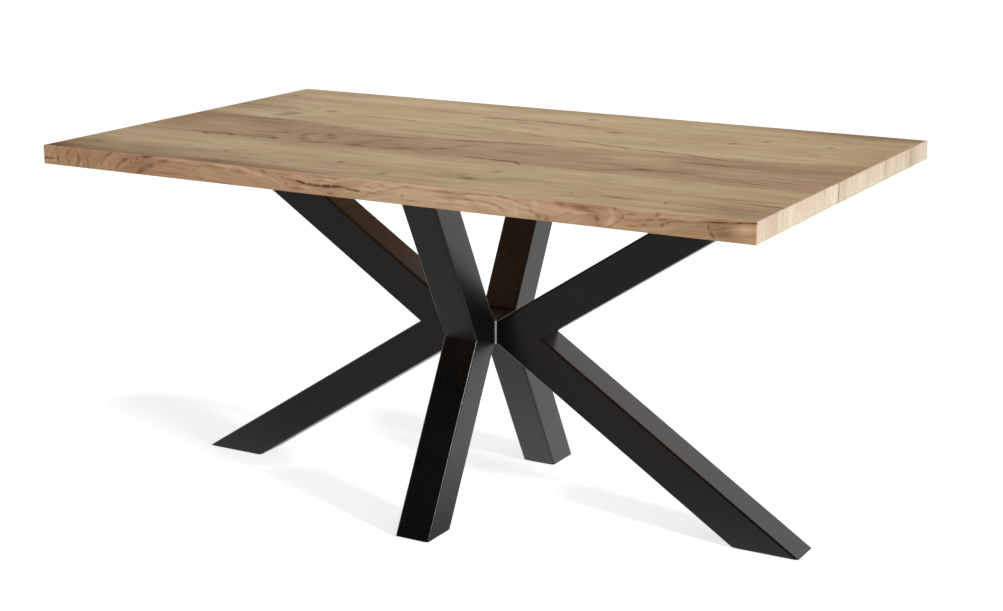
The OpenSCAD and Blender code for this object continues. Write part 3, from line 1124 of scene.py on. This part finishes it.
END_FIGURE = SimpleNamespace(
    seed=23.0,
    drift=0.004,
    waves=20.0,
    ripple=0.002,
    pitch=1.6,
    tone=0.7,
    clouds=0.5,
    streaks=0.9,
    fibre=0.5,
    rings=(90.0, 9.0, 5.0),
    ring_depth=0.12,
    waver=0.004,
    bends=((486, -80, 12, 12, 0.006), (478, 206, 20, 14, 0.008)),
    shades=(
        (478, -260, 100, 60, -0.1),
        (478, -60, 100, 30, 0.08),
        (478, -34, 100, 18, -0.14),
        (478, 135, 100, 18, -0.14),
        (478, 235, 100, 45, -0.24),
        (478, 300, 100, 30, 0.2),
        (466, 60, 12, 25, 0.2),
    ),
    # Redder along the upper edge, greener along the lower one
    reds=((490, 0, 14, 900, -0.2), (465, 0, 14, 900, 0.25)),
    cracks=((3.4, (455, -45.5), (500, -43)),),
    crack_depth=0.75,
    soft_streaks=(
        (5, (478, -92.5), (494, -91.5)),
        (3.5, (480, -19.5), (494, -19)),
        (5, (460, 127), (496, 126)),
        (5, (460, 228), (496, 226)),
        (2.5, (460, -180), (496, -180)),
    ),
    streak_depth=0.3,
    knots=((3.5, (479, 205.5), (488, 206.5)),),
    knot_depth=0.4,
    gleams=((5, (455, -58), (500, -56)), (6, (455, -300), (500, -300))),
    gleam=0.2,
)

UNDERSIDE_FIGURE = SimpleNamespace(
    seed=41.0,
    drift=0.035,
    waves=7.0,
    ripple=0.012,
    pitch=1.0,
    tone=0.68,
    clouds=0.5,
    streaks=0.4,
    fibre=0.26,
    rings=(34.0, 3.2, 7.0),
    ring_depth=0.13,
    waver=0.006,
    bends=((100, 50, 160, 40, 0.04), (-300, -150, 180, 44, 0.04)),
    shades=((-200, 120, 400, 80, 0.1), (250, -100, 350, 70, -0.12)),
    reds=((-300, -100, 300, 100, -0.1), (200, 150, 300, 100, 0.1)),
    cracks=((4, (-150, 30), (100, 15)), (4, (200, 220), (380, 235))),
    crack_depth=0.4,
    soft_streaks=((5, (-400, 100), (100, 80)), (5, (0, -200), (450, -170))),
    streak_depth=0.25,
    knots=((9.5, (78, 50), (122, 50)), (8.1, (-319, -150), (-281, -150))),
    knot_depth=0.4,
    gleams=((8, (-300, 200), (100, 190)), (8, (100, -50), (400, -40))),
    gleam=0.12,
)

# The joints of the top's three planks, as the places across the top where each starts and ends. The back
# one is bowed, and both waver. The front one is sharp on the right and soft on the left.
BACK_JOINT = (-0.004, 0.024)
BACK_BOW = 0.2
BOW_MIDDLE = 0.05
SHARP_JOINT = (-0.1212, -0.1222)
SOFT_JOINT = (-0.106, -0.142)
SHARPENS = (0.0, 0.12)
JOINT_CELLS = 5.0
JOINT_SEED = 3.3
JOINT_WAVER = 0.02

# How much paler or darker, and redder or greener, each plank is
BACK_PALER = 0.11
MIDDLE_DARKER = 0.13
FRONT_PALER = 0.02
MIDDLE_REDDER = 0.14
FRONT_GREENER = 0.06

# The arcs in the grain of the long bands: how far left of the middle they start, how far they are drawn
# out along the band, and how high their centre lies
ARC_START = 0.33
ARC_STRETCH = 1.6
ARC_HEIGHT = 0.435

# The oak's gloss and relief: how much its roughness varies, how high its fibres and how deep its pores are
# as shares of the relief, and the relief's depth in metres and strength
GLOSS_VARIES = 0.08
FIBRE_HEIGHT = 0.4
PORE_HEIGHT = 0.5
OAK_RELIEF = (0.0003, 0.7)

# Cells in a metre: the chips of the board and their fibres, the peel and the film of the powder coat
CHIP_CELLS = 420.0
CHIP_FIBRE_CELLS = 900.0
PEEL_CELLS = 900.0
FILM_CELLS = 14.0

# Where the film of the powder coat turns pale, what its colour is multiplied by there, and how far the
# coat's roughness varies with the film and with the peel
FILM_RISE = (0.3, 0.75)
FILM_TINT = (1.7, 1.7, 1.65)
FILM_GLOSS = (-0.03, 0.05)
PEEL_GLOSS = 0.03


def top_wood(point):
    """The upper decor: a pale plank at the back, a redder one in the middle and a greenish one in front."""
    along, across, _ = point.parts()
    signals = wood_signals(along, across, TOP_FIGURE)
    waver = (point.vector(along * JOINT_CELLS, 0.0, JOINT_SEED).noise() - 0.5) * JOINT_WAVER
    back = (across + waver - (along + BOW_MIDDLE) ** 2.0 * BACK_BOW).rise(*BACK_JOINT)
    sharp = along.rise(*SHARPENS)
    front = across.rise(*SHARP_JOINT) * sharp + (across + waver).rise(*SOFT_JOINT) * (1.0 - sharp)
    middle = (1.0 - back) * (1.0 - front)
    signals.tone = signals.tone + back * BACK_PALER - middle * MIDDLE_DARKER + front * FRONT_PALER
    signals.blotch = signals.blotch - middle * MIDDLE_REDDER + front * FRONT_GREENER
    return signals


def edge_wood(point):
    """The long edge bands. Near the left end the grain turns up in steep arcs."""
    along, _, height = point.parts()
    left = ((along + ARC_START) / ARC_STRETCH).least(0.0)
    arcs = (left**2.0 + (height - ARC_HEIGHT) ** 2.0).root() + ARC_HEIGHT
    return wood_signals(along, height, EDGE_FIGURE, arcs)


def end_wood(point):
    """The short edge bands: fine upright strokes."""
    _, across, height = point.parts()
    return wood_signals(height, across, END_FIGURE)


def underside_wood(point):
    """The backing, with a plainer figure than the top."""
    along, across, _ = point.parts()
    return wood_signals(along, across, UNDERSIDE_FIGURE)


def oak_tones(board, tint=(1.0, 1.0, 1.0)):
    """The five tones of the oak from dark to pale, times a tint."""
    return [scaled(tone, tint) for tone in (board.dark, board.deep, board.middle, board.light, board.pale)]


def chipboard_material(name):
    """Pressed chips in two sizes."""
    material, point = new_material(name)
    chips = point.add("ShaderNodeTexVoronoi", None, {"Vector": point, "Scale": CHIP_CELLS}, "Color")
    shade = point.add("ShaderNodeSeparateColor", None, {"Color": chips})
    fibre = point.times(CHIP_FIBRE_CELLS).noise()
    colour = shade.mix((0.34, 0.22, 0.12), (0.56, 0.42, 0.27))
    inputs = {
        "Base Color": (fibre * 0.4).mix(colour, (0.24, 0.15, 0.08)),
        "Roughness": fibre.spread(0.75, 0.95),
        "Normal": fibre.bump(0.0004, 0.8),
    }
    return close_material(material, point, inputs)


def steel_material(name):
    """Matt black powder coat: a fine orange peel, and a film that is a little paler in places."""
    base = settings().base
    material, point = new_material(name)
    peel = point.times(PEEL_CELLS).noise()
    film = point.times(FILM_CELLS).noise(detail=3.0)
    inputs = {
        "Base Color": film.rise(*FILM_RISE).mix(base.coat, scaled(base.coat, FILM_TINT)),
        "Roughness": film.spread(*(base.gloss + change for change in FILM_GLOSS)) + peel * PEEL_GLOSS,
        "Normal": peel.bump(0.00006, 0.5),
        "Specular IOR Level": 0.6,
        "Specular Tint": (1.0, 0.955, 0.91, 1.0),
    }
    return close_material(material, point, inputs)


def grained_material(name, cells, detail, colours, roughness, relief, constants):
    """A finish with one fine grain that shades it, varies its gloss and gives it relief."""
    material, point = new_material(name)
    grain = point.times(cells).noise(detail)
    inputs = {
        "Base Color": grain.mix(*colours),
        "Roughness": grain.spread(*roughness),
        "Normal": grain.bump(*relief),
    }
    return close_material(material, point, {**inputs, **constants})


def plastic_material(name):
    """Moulded black plastic with a fine spark-eroded grain."""
    return grained_material(
        name,
        cells=1600.0,
        detail=2.0,
        colours=((0.008, 0.008, 0.008), (0.018, 0.018, 0.018)),
        roughness=(0.42, 0.58),
        relief=(0.00008, 0.6),
        constants={"Specular IOR Level": 0.4},
    )


def zinc_material(name):
    """Bright zinc with the soft cloudiness of its plating."""
    return grained_material(
        name,
        cells=300.0,
        detail=3.0,
        colours=((0.5, 0.51, 0.53), (0.68, 0.69, 0.70)),
        roughness=(0.25, 0.42),
        relief=(0.00005, 0.4),
        constants={"Metallic": 1.0},
    )


def glide_material(name):
    """Dense dark felt."""
    return grained_material(
        name,
        cells=1800.0,
        detail=3.0,
        colours=((0.012, 0.012, 0.012), (0.035, 0.034, 0.033)),
        roughness=(0.85, 1.0),
        relief=(0.0003, 0.7),
        constants={},
    )


# Operators


def shared(name, make):
    """A material by its name, made the first time that it is asked for."""
    return bpy.data.materials.get(name) or make(name)


def turned(mesh, shape):
    """Turns a mesh made on the +X side to its own side."""
    bmesh.ops.transform(mesh, matrix=shape.turn, verts=mesh.verts)
    return mesh


def steel_piece(name, mesh, shape, node):
    """A piece of the base in powder coat, turned to its own side."""
    steel = shared("Black powder coat", steel_material)
    piece(name, turned(mesh, shape), steel, node)


class COFFEE_TABLE_OT_board(bpy.types.Operator):
    """Makes the decor sheet, and gives the core and the backing their materials"""

    bl_idname = "coffee_table.board"
    bl_label = "Board"

    def execute(self, context):
        board = settings().board
        low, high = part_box("decor_laminate")
        mesh = block(low, high)
        rim = [e for e in level_rims(mesh) if e.verts[0].co.z > (low.z + high.z) / 2]
        soften(mesh, rim, board.scrape, segments=1)
        oak = wood_material("Oak decor", top_wood, oak_tones(board), roughness=0.7, specular=0.15)
        piece("oak_decor_sheet", mesh, oak, "decor_laminate")
        # The backing's tones are painted paler, painted light that makes up for the shade under the top
        tones = oak_tones(board, BACKING_TINT_AND_PAINTED_LIGHT)
        backing = wood_material("Oak backing", underside_wood, tones, roughness=0.7, specular=0.15)
        dress("backing_laminate", backing)
        dress("top_core", shared("Chipboard", chipboard_material))
        return {"FINISHED"}


class COFFEE_TABLE_OT_edge_bands(bpy.types.Operator):
    """Makes the four edge bands with their rounded arrises"""

    bl_idname = "coffee_table.edge_bands"
    bl_label = "Edge bands"

    def execute(self, context):
        board = settings().board
        edge_tones = oak_tones(board, EDGE_TINT)
        edge_oak = wood_material("Oak edge band", edge_wood, edge_tones, roughness=0.5, specular=0.3)
        end_oak = wood_material("Oak end band", end_wood, END_TONES, roughness=0.5, specular=0.3)
        for side in SIDES:
            node = f"{side}_edge_band"
            direction = outward(side)
            middle = sum(span(node, direction)) / 2
            mesh = block(*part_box(node))
            outer = [e for e in mesh.edges if all(v.co.dot(direction) > middle for v in e.verts)]
            if side in ("left", "right"):
                rims = level_rims(mesh)
                soften(mesh, [e for e in outer if e in rims], board.arris, ARRIS_STEPS)
                piece(f"{side}_end_band", mesh, end_oak, node)
            else:
                inner = [e for e in mesh.edges if e not in outer]
                ends = [e for e in inner if abs(e.verts[0].co.y - e.verts[1].co.y) > LEVEL]
                soften(mesh, outer + ends, board.arris, ARRIS_STEPS)
                piece(f"{side}_long_band", mesh, edge_oak, node)
        return {"FINISHED"}


class COFFEE_TABLE_OT_arms_and_legs(bpy.types.Operator):
    """Makes the upper arms and the lower legs as mitred square tubes"""

    bl_idname = "coffee_table.arms_and_legs"
    bl_label = "Arms and legs"

    def execute(self, context):
        base = settings().base
        for side in SIDES:
            shape = leg_shape(side)
            steel_piece(f"{side}_leg_tube", lower_leg(shape, base), shape, f"{side}_lower_leg")
            steel_piece(f"{side}_arm_tube", upper_arm(shape, base), shape, f"{side}_upper_arm")
        return {"FINISHED"}


class COFFEE_TABLE_OT_mounting_plates(bpy.types.Operator):
    """Makes the drilled mounting plates and the welds that join them to the arms"""

    bl_idname = "coffee_table.mounting_plates"
    bl_label = "Mounting plates"

    def execute(self, context):
        base = settings().base
        for side in SIDES:
            shape = leg_shape(side)
            node = f"{side}_mounting_plate"
            mesh = level_plate(node, side, base.plate_corner, base.plate_inset, base.plate_drill)
            soften(mesh, level_rims(mesh), base.broken_edge, BROKEN_STEPS)
            steel_piece(f"{side}_drilled_plate", mesh, shape, node)
            steel_piece(f"{side}_plate_weld", weld_bead(shape, base), shape, None)
        dress("top_screws", shared("Zinc plate", zinc_material))
        return {"FINISHED"}


class COFFEE_TABLE_OT_feet(bpy.types.Operator):
    """Makes the plates that close the feet, and the glide pads under them"""

    bl_idname = "coffee_table.feet"
    bl_label = "Feet"

    def execute(self, context):
        base = settings().base
        felt = shared("Glide pad", glide_material)
        for side in SIDES:
            shape = leg_shape(side)
            steel_piece(f"{side}_foot_closure", foot_plate(shape, base), shape, f"{side}_foot_plate")
            pad = level_plate(f"{side}_glide", side, base.glide_corner)
            rim = [e for e in level_rims(pad) if e.verts[0].co.z < LEVEL]
            soften(pad, rim, base.broken_edge, BROKEN_STEPS)
            piece(f"{side}_glide_pad", turned(pad, shape), felt, f"{side}_glide")
        return {"FINISHED"}


class COFFEE_TABLE_OT_hub(bpy.types.Operator):
    """Makes the plates and caps of the hub, and gives its tube, screws and nuts their materials"""

    bl_idname = "coffee_table.hub"
    bl_label = "Hub"

    def execute(self, context):
        base = settings().base
        for side in SIDES:
            shape = leg_shape(side)
            steel_piece(f"{side}_hub_closure", hub_plate(shape, side, base), shape, f"{side}_hub_plate")
        plastic = shared("Black plastic", plastic_material)
        piece("hub_end_caps", hub_caps(base), plastic, "hub_caps")
        for node in ("hub_tube", "hub_screws", "hub_nuts"):
            dress(node, shared("Zinc plate", zinc_material))
        return {"FINISHED"}


class COFFEE_TABLE_OT_studio(bpy.types.Operator):
    """Makes the floor, the lamp, the surroundings and the camera"""

    bl_idname = "coffee_table.studio"
    bl_label = "Studio"

    def execute(self, context):
        studio = settings().studio
        make_floor(studio)
        make_surroundings(context.scene, studio)
        make_lamp(context.scene, studio)
        make_camera(context.scene, studio)
        context.scene.view_settings.view_transform = "Standard"
        return {"FINISHED"}


# Studio


FLOOR_RADIUS = 14
FLOOR_STEPS = 96

# The floor's tint where it is seen, painted a little blue against the warm light the wood casts on it, and
# its colour for the light that it sends back
FLOOR_TINT = (0.96, 0.985, 1.0)
PLAIN_FLOOR = (0.8, 0.8, 0.8, 1.0)

# The ovals beside the feet in which the shadows are seen: how far from the foot, half length and half
# width, and how far in from the rim, as a share, they reach their full strength. Outside them the floor
# glows brighter, a painted light that hides its shadows there
STRIP_REACH = 0.12
STRIP_SIZE = (0.27, 0.14)
STRIP_FULL = 0.3

# The broad shade under the top, as an oval in which the floor glows brighter, a painted light that
# lightens that shade: the place of its middle, half length and half width
BROAD_SHADE = (-0.13, 0.0, 0.8, 0.5)

# The floor's colour is painted so that its shadows are shallower on the right, by this factor, and reach
# their full depth between two places in X: a painted shade that makes up for the lamp's weaker light on the
# left
RIGHT_SHADOWS = 0.77
SHADOWS_DEEPEN = (0.5, -0.6)

# Between two places in Y the floor brightens towards the back in the gloss of the legs
FLOOR_BRIGHTENS = (-0.25, 0.25)

# The height of the direction in which the floor's shade leans, as a share of the lamp's height
LEAN = 0.3

# The room in the gloss: it brightens from front to back, and glows in front from this height downwards
ROOM_BRIGHTENS = (-0.3, 0.3)
FRONT_GLOWS = (0.12, 0.0)

# The side of the square lamp, and where it points
KEY_SIZE = 0.3
KEY_TARGET = Vector((0, 0, 0.25))

SENSOR_WIDTH = 36


def ray_kinds(first):
    """1 for the rays of the camera, and 1 for those that gloss or glass sends on."""
    path = first.add("ShaderNodeLightPath").socket.node
    camera, glossy, through = (
        Signal(first.tree, path.outputs[name])
        for name in ("Is Camera Ray", "Is Glossy Ray", "Is Transmission Ray")
    )
    return camera, glossy.most(through)


def by_the_feet(place, studio):
    """1 in an oval beside each foot, on the side away from the lamp, falling to 0 at its rim."""
    away = -Vector(studio.key_place).to_2d().normalized()
    mask = None
    for side in SIDES:
        low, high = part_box(f"{side}_glide")
        middle = (low + high).to_2d() / 2 + away * STRIP_REACH
        oval = spot(place, *middle, *STRIP_SIZE, math.atan2(away.y, away.x))
        mask = oval if mask is None else mask.most(oval)
    return mask


def floor_as_seen(place, studio):
    """White for the camera, with the lamp's shadows beside the feet and a fainter shade under the top."""
    x, _, _ = place.parts()
    shaded = spot(place, *BROAD_SHADE).rise(0.0, 1.0)
    near = by_the_feet(place, studio).rise(0.0, STRIP_FULL)
    # Painted light: the floor glows brighter under the top, to lighten its shade, and away from the feet, to
    # hide their shadows
    glow = shaded * studio.lift - near * studio.far + (studio.glow + studio.far)
    # Painted shade: the floor's colour changes along X, so that its shadows show deeper on the left
    depth = x.rise(*SHADOWS_DEEPEN).spread(RIGHT_SHADOWS, 1.0) * studio.shadow
    # The shade leans towards the lamp, and so shows the lamp's shadows more than the dimmer ones
    lean = Vector(studio.key_place)
    lean.z *= LEAN
    normal = place.vector(*lean.normalized())
    shade = place.shader("BsdfDiffuse", Color=depth.mix(BLACK, FLOOR_TINT), Normal=normal)
    white = place.shader("Emission", Color=WHITE, Strength=glow)
    return place.add("ShaderNodeAddShader", None, {0: shade, 1: white})


def make_floor(studio):
    """A white floor for the camera, one that is dim in front for the gloss, and a pale one for the light."""
    material = bpy.data.materials.new("Studio floor")
    material.use_nodes = True
    material.node_tree.nodes.clear()
    first = Signal(material.node_tree)
    camera, mirrored = ray_kinds(first)
    place = first.add("ShaderNodeTexCoord", output="Object")
    _, y, _ = place.parts()
    dimmed = y.rise(*FLOOR_BRIGHTENS).spread(studio.front_floor, 1.0)
    plain = first.shader("BsdfDiffuse", Color=PLAIN_FLOOR)
    returned = mirrored.mix_shaders(plain, first.shader("Emission", Color=WHITE, Strength=dimmed))
    mixed = camera.mix_shaders(returned, floor_as_seen(place, studio))
    first.add("ShaderNodeOutputMaterial", None, {"Surface": mixed})
    mesh = bmesh.new()
    bmesh.ops.create_circle(mesh, cap_ends=True, segments=FLOOR_STEPS, radius=FLOOR_RADIUS)
    floor = place_mesh("studio_floor", mesh, material)


def make_surroundings(scene, studio):
    """White for the camera, soft light for the table, and for the gloss a white room, dark up in front."""
    world = bpy.data.worlds.new("Studio")
    world.use_nodes = True
    scene.world = world
    world.node_tree.nodes.clear()
    first = Signal(world.node_tree)
    x, y, z = first.add("ShaderNodeTexCoord", output="Generated").parts()
    camera, mirrored = ray_kinds(first)
    behind = (x * BACK_WAY.x + y * BACK_WAY.y).rise(*ROOM_BRIGHTENS)
    bright = behind.most(z.rise(*FRONT_GLOWS) * studio.front_floor)
    ambient = first.shader("Background", Color=WHITE, Strength=studio.ambient)
    seen = first.shader("Background", Color=WHITE, Strength=camera.most(bright))
    mixed = camera.most(mirrored).mix_shaders(ambient, seen)
    first.add("ShaderNodeOutputWorld", None, {"Surface": mixed})


def make_lamp(scene, studio):
    """One small lamp on the right. Its shadows beside the feet are crisp."""
    data = bpy.data.lights.new("Key lamp", "AREA")
    data.shape = "SQUARE"
    data.size = KEY_SIZE
    data.energy = studio.key_power
    lamp = bpy.data.objects.new("Key lamp", data)
    scene.collection.objects.link(lamp)
    place = Vector(studio.key_place)
    aim = (place - KEY_TARGET).to_track_quat("Z", "Y").to_matrix().to_4x4()
    lamp.matrix_world = Matrix.Translation(place) @ aim


def make_camera(scene, studio):
    """The view of the photograph."""
    data = bpy.data.cameras.new("Camera")
    data.sensor_width = SENSOR_WIDTH
    data.lens = studio.lens
    camera = bpy.data.objects.new("Camera", data)
    scene.collection.objects.link(camera)
    turn = Matrix.Rotation(studio.yaw, 4, "Z") @ Matrix.Rotation(math.pi / 2 - studio.pitch, 4, "X")
    camera.matrix_world = Matrix.Translation(studio.eye) @ turn
    scene.camera = camera


class COFFEE_TABLE_PT_panel(bpy.types.Panel):
    """Lists the steps that dress the coffee table"""

    bl_label = "Coffee Table"
    bl_idname = "COFFEE_TABLE_PT_panel"
    bl_space_type = "VIEW_3D"
    bl_region_type = "UI"
    bl_category = "Coffee Table"

    def draw(self, context):
        for operator in OPERATORS:
            self.layout.operator(operator.bl_idname)
        for group in (settings().board, settings().base, settings().studio):
            box = self.layout.box()
            for name in group.__annotations__:
                box.prop(group, name)


OPERATORS = (
    COFFEE_TABLE_OT_board,
    COFFEE_TABLE_OT_edge_bands,
    COFFEE_TABLE_OT_arms_and_legs,
    COFFEE_TABLE_OT_mounting_plates,
    COFFEE_TABLE_OT_feet,
    COFFEE_TABLE_OT_hub,
    COFFEE_TABLE_OT_studio,
)
CLASSES = (BoardSettings, BaseSettings, StudioSettings, TableSettings, *OPERATORS, COFFEE_TABLE_PT_panel)


def register():
    for cls in CLASSES:
        bpy.utils.register_class(cls)
    bpy.types.Scene.coffee_table = bpy.props.PointerProperty(type=TableSettings)


def unregister():
    del bpy.types.Scene.coffee_table
    for cls in reversed(CLASSES):
        bpy.utils.unregister_class(cls)


def main():
    register()
    bpy.ops.coffee_table.board()
    bpy.ops.coffee_table.edge_bands()
    bpy.ops.coffee_table.arms_and_legs()
    bpy.ops.coffee_table.mounting_plates()
    bpy.ops.coffee_table.feet()
    bpy.ops.coffee_table.hub()
    bpy.ops.coffee_table.studio()


if __name__ == "__main__":
    main()
